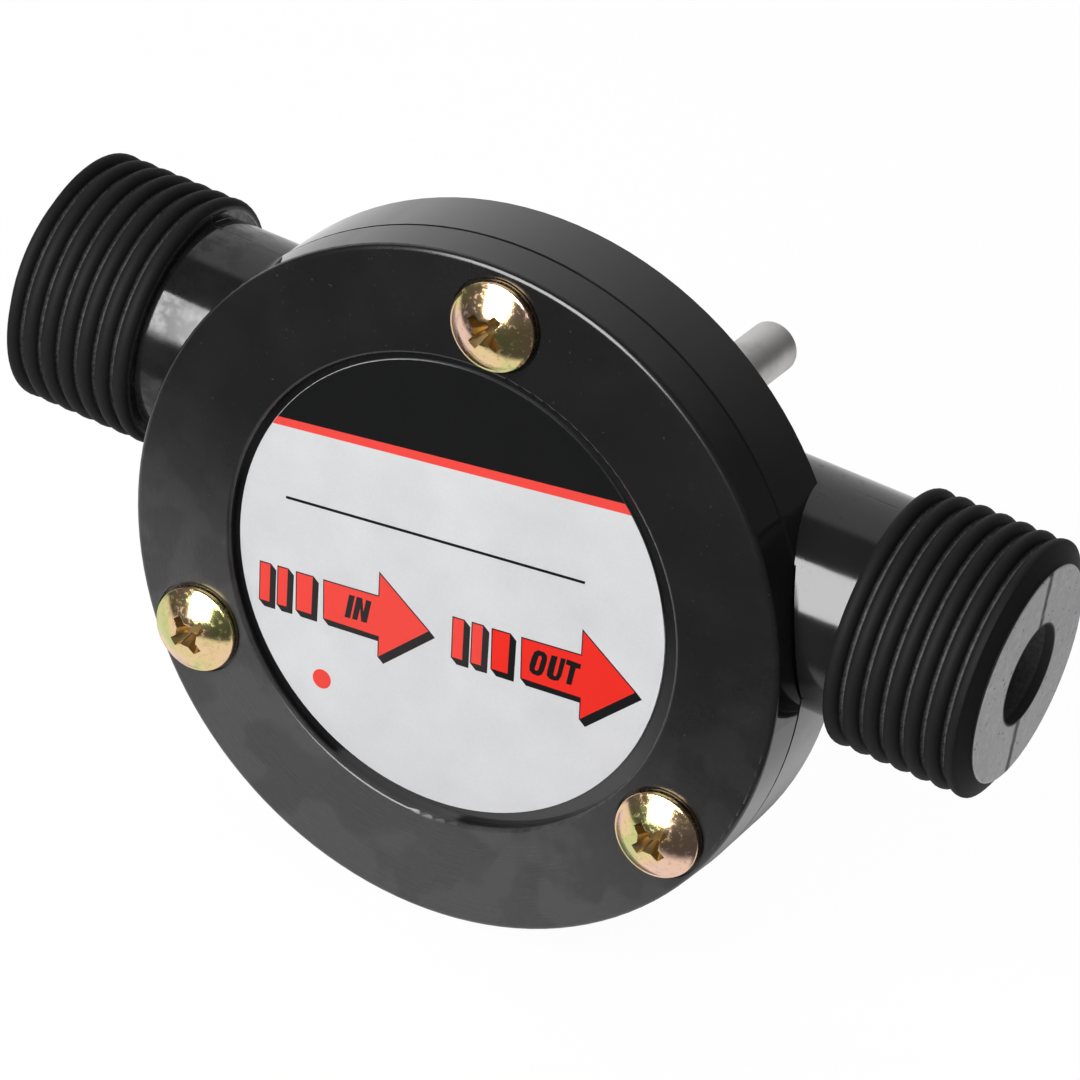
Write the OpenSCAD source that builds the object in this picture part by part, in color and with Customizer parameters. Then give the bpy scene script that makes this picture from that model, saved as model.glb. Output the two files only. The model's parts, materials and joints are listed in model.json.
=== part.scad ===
// Drill powered self priming pump: round two part casing, two hose ports in line, shaft at the back.
// Millimetres. +Z up, ports along X, front face towards -Y, shaft out along +Y.
// Origin on the shaft axis, at the outer face of the retaining ring, where the free shaft begins.

/* [Casing] */
// radius of the round casing at the joint
body_r = 37.1; // [25:0.1:60]
// thickness of the front cover
cover_t = 5.1; // [3:0.1:10]
// thickness of the body's rim flange, behind the joint
flange_t = 8.3; // [4:0.1:20]
// how much smaller in radius the cover's front edge is than the rim at the joint
rim_draft = 0.25; // [0:0.05:1]
// rounding of the cover's outer front edge
edge_round = 0.6; // [0.2:0.1:2]
// chamfer on both sides of the joint, which makes the fine line round the rim
joint_chamfer = 0.2; // [0.1:0.05:0.6]
// wall of the chamber drum behind the flange
drum_wall = 3.5; // [2:0.1:10]
// thickness of the drum's back
drum_back_t = 3.4; // [2:0.1:10]
// rounding of the drum's back edge
drum_round = 1.5; // [0.5:0.1:4]
// radius of the shaft boss
boss_r = 9.5; // [7:0.1:15]
// length of the shaft boss
boss_len = 8.5; // [5:0.1:20]
// gap between the cover's rim and the roots of the port necks
cover_gap = 0.15; // [0.05:0.05:0.5]

/* [Chamber] */
// depth of the pump chamber from the joint
chamber_depth = 18.6; // [10:0.1:30]
// thickness of the wear plates
plate_t = 0.8; // [0.3:0.1:2]
// how much wider in radius the front wear plate is than the chamber
plate_step = 1.7; // [0.5:0.1:4]
// land between the front wear plate and the seal's groove
plate_land = 1.3; // [0.5:0.1:4]
// how far the cam stands into the chamber at the top
cam_rise = 4.2; // [1:0.1:8]
// width of the key on the cam's back
cam_key_w = 5; // [2:0.1:10]
// height of the key on the cam's back
cam_key_h = 1.6; // [0.5:0.1:3]
// gap round a part that is slipped into the body
slip_gap = 0.05; // [0.02:0.01:0.2]

/* [Ports] */
// height of the port axis above the shaft axis
port_z = 8.9; // [0:0.1:20]
// distance of the port axis behind the joint
port_back = 9.3; // [4:0.1:20]
// how far a port reaches beyond the rim
port_len = 18.9; // [10:0.1:50]
// radius of the plain neck
neck_r = 11.6; // [8:0.1:20]
// radius of the port bore
port_bore_r = 5.25; // [3:0.05:10]
// length of the port bore, from the end face to its step
port_bore_len = 31.5; // [10:0.1:60]
// radius of the throat between the port bore and the chamber
throat_r = 4.8; // [2:0.05:10]
// thread crest radius, 3/4 inch garden hose thread
thread_r = 13.5; // [10:0.05:20]
// thread root radius
thread_root_r = 12.4; // [9:0.05:19]
// thread pitch, 11.5 to the inch
thread_pitch = 2.209; // [1:0.001:4]
// distance from the last ridge to the end face
thread_end = 1.55; // [0.8:0.05:6]
// radius of the flat end face
end_face_r = 11.2; // [8:0.05:16]
// length of the lead-in at the end face
lead_in = 1.3; // [0.3:0.1:4]
// rounding between end face and lead-in
lip_round = 0.3; // [0.1:0.05:1]

/* [Label] */
// land between the sunk label seat and the screw seats
seat_land = 0.9; // [0.8:0.1:5]
// depth of the label seat
seat_depth = 1.3; // [0.5:0.1:3]
// rounding of the seat's upper edge
seat_round = 0.35; // [0.1:0.05:1]
// how much smaller in radius the label is than its seat
label_gap = 1.2; // [0.8:0.1:5]
// thickness of the label
label_t = 0.25; // [0.1:0.05:1]
// how far the label is stuck off centre, towards the inlet
label_shift = 0.5; // [0:0.1:1]

/* [Screws] */
// distance of the screws' centres from the rim
screw_inset = 5.6; // [5.2:0.1:12]
// how much nearer to the middle the top screw is
top_step = 0.6; // [0:0.05:0.7]
// radius of a screw head
head_r = 4.65; // [2:0.05:8]
// height of a screw head
head_h = 2.95; // [1:0.05:5]
// height of the straight side of a screw head
head_side = 1.1; // [0.2:0.05:2]
// length of a screw under its head
screw_len = 12; // [6:0.1:30]
// outer radius of a screw's thread
screw_r = 2.1; // [1:0.05:4]
// core radius of a screw
screw_core_r = 1.6; // [0.8:0.05:3.5]
// pitch of a screw's thread
screw_pitch = 1.4; // [0.5:0.05:3]
// length of the cross recess's arms, from the middle
recess_arm = 2.2; // [1:0.05:4]
// width of the cross recess's arms
recess_w = 1; // [0.4:0.05:2]
// depth of the cross recess
recess_depth = 1.9; // [0.5:0.05:3]
// radius of a screw seat in the cover
screw_seat_r = 5; // [3:0.05:9]
// depth of a screw seat
screw_seat_depth = 0.4; // [0.1:0.05:2]
// gap round a screw in its hole
screw_gap = 0.04; // [0.02:0.01:0.4]

/* [Shaft] */
// shaft radius
shaft_r = 3; // [2:0.05:6]
// length of the free shaft outside the retaining ring
shaft_free = 34.1; // [20:0.1:60]
// chamfer at the shaft's tail
tail_chamfer = 0.7; // [0.2:0.05:2]
// how far the shaft reaches in front of the joint
shaft_front = 2.3; // [1:0.1:4]
// running gap between the shaft and what it turns in, in radius
run_gap = 0.03; // [0.01:0.01:0.1]
// end play of the rotor and of its washer
end_play = 0.1; // [0.05:0.01:0.3]
// radius of the bushes
bush_r = 5; // [4:0.1:9]
// length of the front bush
front_bush_len = 2.5; // [1:0.1:4]
// length of the rear bush
rear_bush_len = 6.4; // [3:0.1:15]
// radius of the hole in the wear plates and in the web behind the seal
pass_r = 3.4; // [2.2:0.05:7]
// thickness of the thrust washer
washer_t = 0.5; // [0.3:0.05:2]
// radius of the thrust washer
washer_r = 5.6; // [4:0.1:10]
// thickness of the retaining ring
ring_t = 0.8; // [0.4:0.05:2]
// radius of the retaining ring
ring_r = 5.2; // [4:0.1:9]
// radius of the ring's groove in the shaft
ring_groove_r = 2.4; // [1.5:0.05:5]

/* [Seals] */
// radius of the lip seal
seal_r = 7; // [5:0.1:12]
// length of the lip seal
seal_len = 4.5; // [2:0.1:10]
// radius of the circle of the garter spring
spring_circle_r = 4.5; // [3:0.05:9]
// wire radius of the garter spring
spring_wire_r = 0.32; // [0.1:0.02:1]
// land between the seal's groove and the screw holes
groove_land = 1.7; // [0.5:0.1:5]
// width of the groove
groove_w = 2.2; // [1:0.1:4]
// depth of the groove
groove_depth = 1.5; // [0.8:0.1:3]

/* [Impeller] */
// radius of the hub
hub_r = 6.2; // [4:0.1:12]
// height of the hub's ribs
hub_rib_h = 0.7; // [0.3:0.1:2]
// width of the hub's ribs
hub_rib_w = 1.4; // [0.5:0.1:4]
// radius of the rubber round the hub
rubber_r = 9.6; // [7:0.1:16]
// thickness of a vane
vane_t = 2.4; // [1:0.1:5]
// radius of a vane's tip
tip_r = 1.9; // [0.8:0.1:4]
// gap between a vane's tip and the chamber wall
tip_gap = 0.1; // [0.05:0.01:0.5]
// radius of the drive pin
pin_r = 1; // [0.5:0.05:2]
// length of the drive pin
pin_len = 10.4; // [6:0.1:20]

/* [Hidden] */
$fn = 96;
// how far a cut runs past the face it leaves by
overrun = 1;
ridge_count = 7;
vane_count = 6;
// angles of the screws, anticlockwise from the outlet, seen from the front
top_angle = 89.4;
left_angle = 210;
right_angle = 330;
// turn of each screw's cross recess
top_turn = 57;
left_turn = 44;
right_turn = 48;
vane_angle = 90;
// of the pitch: half width of a thread ridge at its root, rounding of its crest, and run-out at the neck
ridge_foot_share = 0.45;
crest_round_share = 0.4;
run_out_share = 0.46;
// how far up the first crest's rounding the run-out meets it
run_out_top_share = 0.6;
// height above the horizontal, as an angle, at which the cam runs out into the chamber wall
cam_foot_angle = 45;
// section of the lip seal: of the way from shaft to seat, and of its length
seal_shares = [[1, 0], [1, 1], [0.16, 1], [0.16, 0.76], [0, 0.44], [0, 0.36], [0.12, 0.2], [0.28, 0.2],
    [0.285, 0.5], [0.4, 0.78], [0.72, 0.78], [0.72, 0]];
// where the spring lies along the seal
spring_place_share = 0.36;
// bend of the vane under the cam, sideways and up, and how far aside its tip lies: of the chamber radius
bend_shares = [0.03, 0.58];
bent_tip_share = 0.235;
ring_mouth_share = 0.85;

// The casing's circles follow from the rim inwards, each by the land or wall between it and the last.
screw_circle_r = body_r - screw_inset;
SCREWS = [[top_angle, screw_circle_r - top_step], [left_angle, screw_circle_r], [right_angle, screw_circle_r]];
seat_r = screw_circle_r - screw_seat_r - seat_land;
label_r = seat_r - label_gap;
groove_r = screw_circle_r - screw_r - groove_land - groove_w / 2;
front_plate_r = groove_r - groove_w / 2 - plate_land;
chamber_r = front_plate_r - plate_step;
drum_r = chamber_r + drum_wall;
drum_depth = chamber_depth + drum_back_t;
port_reach = body_r + port_len;
first_ridge = port_reach - thread_end - (ridge_count - 1) * thread_pitch;

boss_y = -(end_play + washer_t + ring_t);
joint_y = boss_y - boss_len - drum_depth;
front_y = joint_y - cover_t;
port_y = joint_y + port_back;
drum_back_y = joint_y + drum_depth;
floor_y = joint_y + chamber_depth;
rear_plate_y = floor_y - plate_t;
rotor_front_y = joint_y + plate_t + end_play;
rotor_back_y = rear_plate_y - end_play;
bush_front_y = boss_y - rear_bush_len;
screw_seat_y = front_y + screw_seat_depth;
pin_y = rotor_front_y + pin_r;
cam_foot = chamber_r * sin(cam_foot_angle);
cam_top = chamber_r - cam_rise;
cam_mid = (2 * cam_foot * cam_foot - cam_top * cam_top) / (2 * (cam_foot - cam_top));
bent_tip_x = chamber_r * bent_tip_share;
bent_tip_way = cam_top - cam_mid - tip_r - tip_gap;

// A profile of radius against depth, turned round the shaft axis.
module turned() rotate([-90, 0, 0]) rotate_extrude() children();

// A front view, x across and y up, from its back face forwards.
module sheet(back, thick) translate([0, back, 0]) rotate([90, 0, 0]) linear_extrude(height = thick) children();

module round_bar(from, to, r) translate([0, from, 0]) rotate([-90, 0, 0]) cylinder(h = to - from, r = r);

module at_screw(place) translate([place[1] * cos(place[0]), 0, place[1] * sin(place[0])]) children();

module port_profile() {
    foot = ridge_foot_share * thread_pitch;
    crest = crest_round_share * thread_pitch;
    intersection() {
        union() {
            square([neck_r, port_reach]);
            polygon([[neck_r, first_ridge - run_out_share * thread_pitch],
                [thread_r - crest * (1 - run_out_top_share), first_ridge - crest * run_out_top_share],
                [thread_root_r, first_ridge], [thread_root_r, port_reach], [neck_r, port_reach]]);
            for (i = [0:ridge_count - 1]) {
                at = first_ridge + i * thread_pitch;
                polygon([[neck_r, at - foot], [thread_root_r, at - foot], [thread_r - crest, at - crest],
                    [thread_r - crest, at + crest], [thread_root_r, at + foot], [neck_r, at + foot]]);
                translate([thread_r - crest, at]) circle(r = crest);
            }
        }
        union() {
            lead_slope = (lead_in - lip_round) / (thread_r - end_face_r - lip_round);
            polygon([[0, 0], [thread_r + overrun, 0],
                [thread_r + overrun, port_reach - lead_in - overrun * lead_slope],
                [end_face_r + lip_round, port_reach - lip_round], [end_face_r, port_reach - lip_round],
                [end_face_r, port_reach], [0, port_reach]]);
            translate([end_face_r, port_reach - lip_round]) circle(r = lip_round);
        }
    }
}

module port(side) translate([0, port_y, port_z]) rotate([0, side * 90, 0]) rotate_extrude() port_profile();

module port_bore(side) translate([0, port_y, port_z]) rotate([0, side * 90, 0]) {
    translate([0, 0, port_reach - port_bore_len]) cylinder(h = port_bore_len + overrun, r = port_bore_r);
    translate([0, 0, chamber_r / 2]) cylinder(h = port_reach - chamber_r / 2, r = throat_r);
}

module casing_profile() {
    flange_y = joint_y + flange_t;
    polygon([[0, joint_y], [body_r - joint_chamfer, joint_y], [body_r, joint_y + joint_chamfer],
        [body_r, flange_y - joint_chamfer], [body_r - joint_chamfer, flange_y], [0, flange_y]]);
    round_y = drum_back_y - drum_round;
    translate([0, joint_y]) square([drum_r, drum_depth - drum_round]);
    translate([0, joint_y]) square([drum_r - drum_round, drum_depth]);
    translate([drum_r - drum_round, round_y]) circle(r = drum_round);
    polygon([[0, round_y], [boss_r + drum_round, round_y],
        [boss_r + drum_round, drum_back_y], [boss_r, drum_back_y + drum_round],
        [boss_r, boss_y - edge_round], [boss_r - edge_round, boss_y], [0, boss_y]]);
}

module pump_body() color([0.06, 0.06, 0.065]) difference() {
    union() {
        turned() casing_profile();
        port(1);
        port(-1);
    }
    round_bar(joint_y - port_reach, joint_y, body_r + cover_gap);
    round_bar(joint_y - overrun, floor_y, chamber_r);
    round_bar(joint_y - overrun, joint_y + plate_t, front_plate_r + slip_gap);
    turned() translate([groove_r - groove_w / 2, joint_y - overrun]) square([groove_w, groove_depth + overrun]);
    sheet(rear_plate_y, chamber_depth + overrun) translate([-cam_key_w / 2 - slip_gap, 0])
        square([cam_key_w + 2 * slip_gap, chamber_r + cam_key_h + slip_gap]);
    for (place = SCREWS) at_screw(place)
        round_bar(joint_y - overrun, screw_seat_y + screw_len + end_play, screw_r + screw_gap);
    round_bar(floor_y - overrun, floor_y + seal_len, seal_r);
    round_bar(floor_y, boss_y + overrun, pass_r);
    round_bar(bush_front_y, boss_y + overrun, bush_r);
    port_bore(1);
    port_bore(-1);
}

module cover_profile() {
    face_r = body_r - rim_draft;
    polygon([[0, front_y], [face_r - edge_round, front_y], [face_r - edge_round, front_y + edge_round],
        [face_r, front_y + edge_round], [body_r, joint_y - joint_chamfer], [body_r - joint_chamfer, joint_y],
        [0, joint_y]]);
    translate([face_r - edge_round, front_y + edge_round]) circle(r = edge_round);
}

module label_seat_profile() {
    translate([0, front_y - overrun]) square([seat_r, seat_depth + overrun]);
    difference() {
        translate([seat_r - seat_round, front_y - overrun]) square([2 * seat_round, overrun + seat_round]);
        translate([seat_r + seat_round, front_y + seat_round]) circle(r = seat_round);
    }
}

module front_cover() color([0.06, 0.06, 0.065]) difference() {
    turned() cover_profile();
    turned() label_seat_profile();
    for (place = SCREWS) at_screw(place) {
        round_bar(front_y - overrun, screw_seat_y, screw_seat_r);
        round_bar(front_y - overrun, joint_y + overrun, screw_r + 2 * screw_gap);
    }
    round_bar(joint_y - front_bush_len, joint_y + overrun, bush_r);
}

module cover_seal() color([0.1, 0.1, 0.1]) turned() {
    bead = groove_depth / 2;
    reach = groove_w / 2 - bead - slip_gap;
    translate([groove_r - reach, joint_y + bead]) circle(r = bead);
    translate([groove_r + reach, joint_y + bead]) circle(r = bead);
    translate([groove_r - reach, joint_y]) square([2 * reach, groove_depth]);
}

module label_disc() color([0.75, 0.76, 0.78]) translate([-label_shift, 0, 0])
    round_bar(front_y + seat_depth - label_t, front_y + seat_depth, label_r);

module screw_profile() {
    rise = head_h - head_side;
    dome_r = (head_r * head_r + rise * rise) / (2 * rise);
    translate([0, screw_seat_y - head_side]) square([head_r, head_side]);
    intersection() {
        translate([0, screw_seat_y - head_h]) square([head_r, rise]);
        translate([0, screw_seat_y - head_h + dome_r]) circle(r = dome_r);
    }
    tip_from = screw_seat_y + screw_len - 2 * screw_core_r;
    polygon([[0, screw_seat_y - head_side], [screw_core_r, screw_seat_y - head_side], [screw_core_r, tip_from],
        [screw_core_r / 4, screw_seat_y + screw_len], [0, screw_seat_y + screw_len]]);
    for (at = [screw_seat_y + screw_pitch:screw_pitch:tip_from])
        polygon([[0, at - screw_pitch / 3], [screw_core_r, at - screw_pitch / 3], [screw_r, at],
            [screw_core_r, at + screw_pitch / 3], [0, at + screw_pitch / 3]]);
}

module screw(place, turn) color([0.8, 0.66, 0.35]) at_screw(place) difference() {
    turned() screw_profile();
    intersection() {
        sheet(screw_seat_y - head_h + recess_depth, recess_depth + overrun) rotate(turn) {
            translate([-recess_arm, -recess_w / 2]) square([2 * recess_arm, recess_w]);
            translate([-recess_w / 2, -recess_arm]) square([recess_w, 2 * recess_arm]);
        }
        turned() translate([0, screw_seat_y - head_h]) polygon([[0, -overrun], [recess_arm, -overrun],
            [recess_arm, 0], [recess_w / 2, recess_depth], [0, recess_depth]]);
    }
}

module screw_top() screw(SCREWS[0], top_turn);

module screw_left() screw(SCREWS[1], left_turn);

module screw_right() screw(SCREWS[2], right_turn);

module cam_insert() color([0.85, 0.85, 0.82]) {
    cam_back = chamber_r - slip_gap;
    sheet(rear_plate_y, chamber_depth - 2 * plate_t) difference() {
        union() {
            circle(r = cam_back);
            translate([-cam_key_w / 2, 0]) square([cam_key_w, chamber_r + cam_key_h]);
        }
        translate([0, cam_mid]) circle(r = cam_top - cam_mid);
    }
}

module wear_plate(back, r) color([0.7, 0.71, 0.73]) sheet(back, plate_t) difference() {
    circle(r = r);
    circle(r = pass_r);
}

module front_wear_plate() wear_plate(joint_y + plate_t, front_plate_r);

module rear_wear_plate() wear_plate(floor_y, chamber_r - slip_gap);

module bush(from, len) color([0.72, 0.5, 0.28]) sheet(from + len, len) difference() {
    circle(r = bush_r);
    circle(r = shaft_r + run_gap);
}

module front_bush() bush(joint_y - front_bush_len, front_bush_len);

module rear_bush() bush(bush_front_y, rear_bush_len);

module lip_seal() color([0.12, 0.12, 0.12]) turned()
    polygon([for (p = seal_shares) [shaft_r + run_gap + p[0] * (seal_r - shaft_r - run_gap),
        floor_y + p[1] * seal_len]]);

module seal_spring() color([0.7, 0.71, 0.73]) turned()
    translate([spring_circle_r, floor_y + spring_place_share * seal_len]) circle(r = spring_wire_r);

module drive_shaft() color([0.72, 0.72, 0.74]) difference() {
    turned() polygon([[0, joint_y - shaft_front], [shaft_r - tail_chamfer / 2, joint_y - shaft_front],
        [shaft_r, joint_y - shaft_front + tail_chamfer / 2], [shaft_r, -ring_t - slip_gap],
        [ring_groove_r, -ring_t - slip_gap], [ring_groove_r, 0], [shaft_r, 0],
        [shaft_r, shaft_free - tail_chamfer], [shaft_r - tail_chamfer, shaft_free], [0, shaft_free]]);
    translate([-pin_len / 2, pin_y, 0]) rotate([0, 90, 0]) cylinder(h = pin_len, r = pin_r);
}

module hub_outline() {
    circle(r = hub_r);
    for (i = [0:vane_count - 1]) rotate(i * 360 / vane_count) translate([0, -hub_rib_w / 2])
        square([hub_r + hub_rib_h, hub_rib_w]);
}

module impeller_hub() color([0.78, 0.62, 0.3]) difference() {
    sheet(rotor_back_y, rotor_back_y - rotor_front_y) difference() {
        hub_outline();
        circle(r = shaft_r + slip_gap);
    }
    translate([-pin_len / 2 - slip_gap, rotor_front_y - overrun, -pin_r - slip_gap])
        cube([pin_len + 2 * slip_gap, overrun + 2 * pin_r + slip_gap, 2 * (pin_r + slip_gap)]);
}

// A vane's piece between two points of the front view, with a round end.
module limb(from, to, thick, end_r) {
    way = to - from;
    translate(from) rotate(atan2(way[1], way[0])) translate([0, -thick / 2]) square([norm(way), thick]);
    translate(to) circle(r = end_r);
}

module impeller() color([0.13, 0.13, 0.13]) sheet(rotor_back_y, rotor_back_y - rotor_front_y) {
    difference() {
        circle(r = rubber_r);
        hub_outline();
    }
    root_r = (hub_r + hub_rib_h + rubber_r) / 2;
    tip_mid = chamber_r - tip_gap - tip_r;
    for (i = [1:vane_count - 1]) rotate(vane_angle + i * 360 / vane_count)
        limb([root_r, 0], [tip_mid, 0], vane_t, tip_r);
    limb([0, root_r], chamber_r * bend_shares, vane_t, vane_t / 2);
    limb(chamber_r * bend_shares, [bent_tip_x, cam_mid + sqrt(bent_tip_way * bent_tip_way
        - bent_tip_x * bent_tip_x)], vane_t, tip_r);
}

module drive_pin() color([0.66, 0.66, 0.68]) translate([-pin_len / 2, pin_y, 0]) rotate([0, 90, 0])
    cylinder(h = pin_len, r = pin_r);

module thrust_washer() color([0.78, 0.78, 0.74]) sheet(-ring_t, washer_t) difference() {
    circle(r = washer_r);
    circle(r = shaft_r + slip_gap);
}

module retaining_ring() color([0.35, 0.35, 0.37]) sheet(0, ring_t) difference() {
    circle(r = ring_r);
    circle(r = ring_groove_r + slip_gap);
    translate([-ring_groove_r * ring_mouth_share, -ring_r - overrun])
        square([2 * ring_groove_r * ring_mouth_share, ring_r + overrun]);
}

pump_body();
front_cover();
cover_seal();
label_disc();
screw_top();
screw_left();
screw_right();
cam_insert();
front_wear_plate();
rear_wear_plate();
front_bush();
rear_bush();
lip_seal();
seal_spring();
drive_shaft();
impeller_hub();
impeller();
drive_pin();
thrust_washer();
retaining_ring();
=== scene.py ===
# %% [markdown]
# # A pump that a drill drives
#
# The pump is a round black casing as wide as a hand, with a hose port on each side and a plain steel shaft
# at the back. Its shapes come from the CAD model. This lesson adds what CAD leaves out: the camera, the
# studio, the print on the label and the finish of each material.
#
# Nothing is selected before the work starts, because an operator acts on all that is selected.

# %% Load the CAD model
import json
import math

import bpy
from mathutils import Matrix, Vector


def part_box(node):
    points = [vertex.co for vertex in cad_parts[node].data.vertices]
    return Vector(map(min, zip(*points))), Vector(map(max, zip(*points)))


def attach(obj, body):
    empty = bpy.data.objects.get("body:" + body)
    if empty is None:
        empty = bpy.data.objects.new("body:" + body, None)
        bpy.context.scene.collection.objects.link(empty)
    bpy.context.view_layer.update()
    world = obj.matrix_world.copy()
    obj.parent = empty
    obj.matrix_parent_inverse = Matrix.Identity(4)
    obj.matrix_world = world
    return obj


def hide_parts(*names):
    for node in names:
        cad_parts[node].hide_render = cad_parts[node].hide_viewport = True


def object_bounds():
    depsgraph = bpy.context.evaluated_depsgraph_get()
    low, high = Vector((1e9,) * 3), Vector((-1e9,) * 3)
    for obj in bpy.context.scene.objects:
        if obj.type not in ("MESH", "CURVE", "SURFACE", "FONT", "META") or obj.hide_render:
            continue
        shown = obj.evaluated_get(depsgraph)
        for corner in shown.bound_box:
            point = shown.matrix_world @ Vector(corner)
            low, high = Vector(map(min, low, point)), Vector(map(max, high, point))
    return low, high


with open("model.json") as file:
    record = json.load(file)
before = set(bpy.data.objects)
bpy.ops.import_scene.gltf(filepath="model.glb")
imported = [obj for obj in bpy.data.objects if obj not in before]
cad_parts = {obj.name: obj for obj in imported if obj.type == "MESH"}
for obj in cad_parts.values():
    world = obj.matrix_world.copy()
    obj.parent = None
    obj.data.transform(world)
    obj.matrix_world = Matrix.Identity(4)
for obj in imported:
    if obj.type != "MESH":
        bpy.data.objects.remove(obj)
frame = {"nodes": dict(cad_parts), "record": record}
nodes = frame["nodes"]
cad_box = [list(corner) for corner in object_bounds()]
bpy.ops.object.select_all(action="DESELECT")
MM = 0.001
print(len(nodes), "CAD nodes, box in mm:", [[round(v / MM, 1) for v in corner] for corner in cad_box])

# %% [markdown]
# ## The camera
#
# The picture is taken from the front, a little from the right and from above, with a long lens, so that the
# round face stays nearly a true ellipse. A camera's matrix holds its right, up and back directions as
# columns, and its place as the last one. Writing the three directions gives the slight roll of the picture
# too.

# %% Camera
RIGHT = Vector((0.85744, 0.49191, 0.15107))
UP = Vector((-0.36658, 0.37790, 0.85018))
BACK = Vector((0.36112, -0.78436, 0.50435))
CAMERA_PLACE = Vector((196.95, -445.39, 272.89)) * MM
SENSOR_WIDTH, FOCAL_LENGTH = 36, 177.97
NEAREST, FARTHEST = 0.01, 20

lens = bpy.data.cameras.new("camera")
lens.sensor_width = SENSOR_WIDTH
lens.lens = FOCAL_LENGTH
lens.clip_start = NEAREST
lens.clip_end = FARTHEST
camera = bpy.data.objects.new("camera", lens)
bpy.context.scene.collection.objects.link(camera)
turn = Matrix((RIGHT, UP, BACK)).transposed()
camera.matrix_world = Matrix.Translation(CAMERA_PLACE) @ turn.to_4x4()
bpy.context.scene.camera = camera
print("camera stands", round(CAMERA_PLACE.length / MM), "mm from the origin")

# %% [markdown]
# ## Shader maths as plain Python
#
# A finish is a small sum: this much roughness, more of it here, less of it there. Nodes say that with boxes
# and wires. The class below wraps one socket and lets `+`, `-` and `*` add the Math nodes, so that a finish
# reads like a formula. Every other node comes from its one method `node`.

# %% A socket that can be calculated with
MIX_A, MIX_B, MIX_RESULT = 6, 7, 2
LINE_CORE_SHARE = 0.4


class Shade:
    def __init__(self, tree, socket=None):
        self.tree, self.socket = tree, socket

    def node(self, kind, settings, inputs, output=0):
        made = self.tree.nodes.new(kind)
        for name, value in settings.items():
            if name == "stops":
                ramp = made.color_ramp.elements
                while len(ramp) < len(value):
                    ramp.new(0.5)
                for stop, (place, colour) in zip(ramp, value):
                    stop.position, stop.color = place, (*colour, 1)
            else:
                setattr(made, name, value)
        for name, value in inputs.items():
            if isinstance(value, Shade):
                self.tree.links.new(value.socket, made.inputs[name])
            else:
                made.inputs[name].default_value = value
        return Shade(self.tree, made.outputs[output]) if len(made.outputs) else None

    def math(self, operation, *others):
        return self.node("ShaderNodeMath", {"operation": operation}, dict(enumerate((self, *others))))

    def __add__(self, other):
        return self.math("ADD", other)

    def __mul__(self, other):
        return self.math("MULTIPLY", other)

    def __sub__(self, other):
        return self.math("SUBTRACT", other)

    def __rsub__(self, other):
        return self.node("ShaderNodeMath", {"operation": "SUBTRACT"}, {0: other, 1: self})

    __radd__ = __add__

    def fade(self, low, high):
        """0 below low, 1 above high, and a smooth step between them."""
        return self.node("ShaderNodeMapRange", {"interpolation_type": "SMOOTHSTEP"},
                         {"Value": self, "From Min": low, "From Max": high})

    def blend(self, amount, colour):
        """This colour, and as much of the other one as amount says."""
        inputs = {"Factor": amount, MIX_A: self, MIX_B: (*colour, 1)}
        return self.node("ShaderNodeMix", {"data_type": "RGBA"}, inputs, MIX_RESULT)

    def near(self, place, half_width):
        """1 on the line at place, falling to 0 at half_width beside it."""
        return 1 - (self - place).math("ABSOLUTE").fade(half_width * LINE_CORE_SHARE, half_width)


print("Shade adds Math nodes for + - and *")

# %% [markdown]
# ## Helpers for the finishes
#
# Most finishes ask the same questions: where is this point, how far is it from an axis, and what does the
# noise say here. Object coordinates answer the first in metres, so they are turned into millimetres once. A
# noise that is given the radius and the angle in place of x, y and z makes marks that run round the shaft.

# %% Start and close a finish
def start_finish(name):
    made = bpy.data.materials.new(name)
    made.use_nodes = True
    made.node_tree.nodes.clear()
    pen = Shade(made.node_tree)
    place = pen.node("ShaderNodeTexCoord", {}, {}, "Object")
    place = pen.node("ShaderNodeVectorMath", {"operation": "SCALE"}, {0: place, "Scale": 1 / MM})
    return made, pen, place


def xyz(place):
    return [place.node("ShaderNodeSeparateXYZ", {}, {0: place}, axis) for axis in "XYZ"]


def noise(place, scale, detail, rough=0.5):
    inputs = {"Vector": place, "Scale": scale, "Detail": detail, "Roughness": rough}
    return place.node("ShaderNodeTexNoise", {}, inputs, "Fac")


def colours(mask, low, high):
    inputs = {"Factor": mask, MIX_A: (*low, 1), MIX_B: (*high, 1)}
    return mask.node("ShaderNodeMix", {"data_type": "RGBA"}, inputs, MIX_RESULT)


def bump(height, strength, distance):
    inputs = {"Height": height, "Strength": strength, "Distance": distance * MM}
    return height.node("ShaderNodeBump", {}, inputs)


def close_finish(made, pen, inputs, matt=None, matt_inputs=None):
    """One surface, or two of them, with the second one where matt is 1."""
    shader = pen.node("ShaderNodeBsdfPrincipled", {}, inputs)
    if matt is not None:
        other = pen.node("ShaderNodeBsdfPrincipled", {}, matt_inputs)
        shader = pen.node("ShaderNodeMixShader", {}, {0: matt, 1: shader, 2: other})
    pen.node("ShaderNodeOutputMaterial", {}, {"Surface": shader})
    print("finish", made.name, "has", len(made.node_tree.nodes), "nodes")
    return made


def from_middle(a, b):
    return (a * a + b * b).math("SQRT")


def wound(*coordinates):
    """A place for noise, from up to three coordinates such as radius and angle."""
    return coordinates[0].node("ShaderNodeCombineXYZ", {}, dict(enumerate(coordinates)))
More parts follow.
